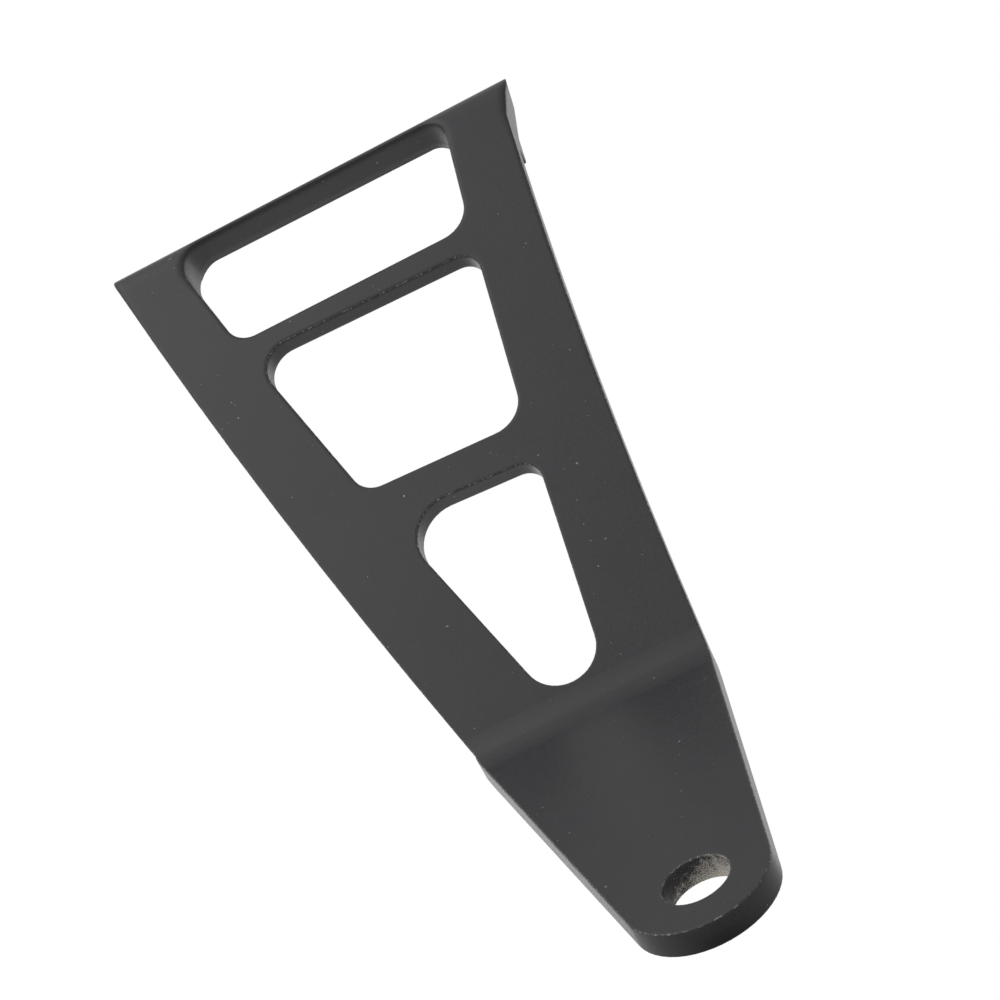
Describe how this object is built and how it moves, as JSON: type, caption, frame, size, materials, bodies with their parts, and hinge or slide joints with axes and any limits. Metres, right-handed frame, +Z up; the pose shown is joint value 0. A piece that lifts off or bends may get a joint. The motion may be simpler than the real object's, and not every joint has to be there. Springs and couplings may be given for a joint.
{
  "type": "exhaust hanger bracket",
  "caption": "Tapering plate bracket with window cut-outs, a thick rounded head along its top and a bent foot with a round hole that carries a motorbike exhaust.",
  "frame": {"origin": "middle of the foot's hole, halfway through the plate", "axes": "+Z up the flat web, from the foot bend to the thick head; +X across the web, to the right as seen from the front; -Y is the front, the side towards which the foot is bent"},
  "size_m": [0.077, 0.0536, 0.1711],
  "materials": {
    "black_coat": "fine satin-matt black powder coat, worn through to bare metal inside the hole"
  },
  "bodies": {
    "root": {"hanger_bracket": "black_coat"}
  },
  "joints": []
}
